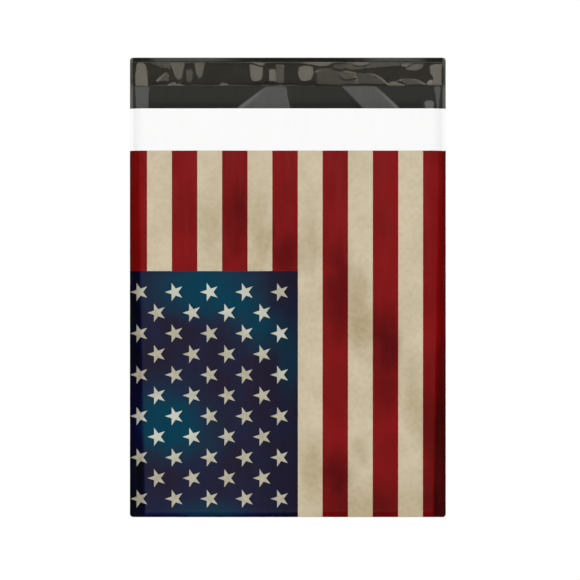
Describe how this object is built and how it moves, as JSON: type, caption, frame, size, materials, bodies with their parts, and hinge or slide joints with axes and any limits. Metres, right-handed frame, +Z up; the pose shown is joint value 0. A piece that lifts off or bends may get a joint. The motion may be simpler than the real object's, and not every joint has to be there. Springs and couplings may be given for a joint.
{
  "type": "poly mailer bag",
  "caption": "Flat film mailing pouch lying on its back, open at one end, with an open flap whose glue band is covered by a crinkled clear liner.",
  "frame": {"origin": "middle of the bag's outline, flap included, on the surface that it lies on", "axes": "+X across the bag to the right as the front is seen, +Y along the bag towards the flap's free edge, +Z up out of the printed front"},
  "size_m": [0.254, 0.3696, 0.0049],
  "materials": {
    "film": "glossy co-extruded polyethylene film, white outside with a printed front, dark grey inside",
    "glue": "tacky clear hot-melt glue, seen dark over the film's dark inside",
    "liner": "clear, glossy, crinkled film"
  },
  "bodies": {
    "root": {"bag_film": "film", "adhesive_strip": "glue", "release_liner": "liner"}
  },
  "joints": []
}
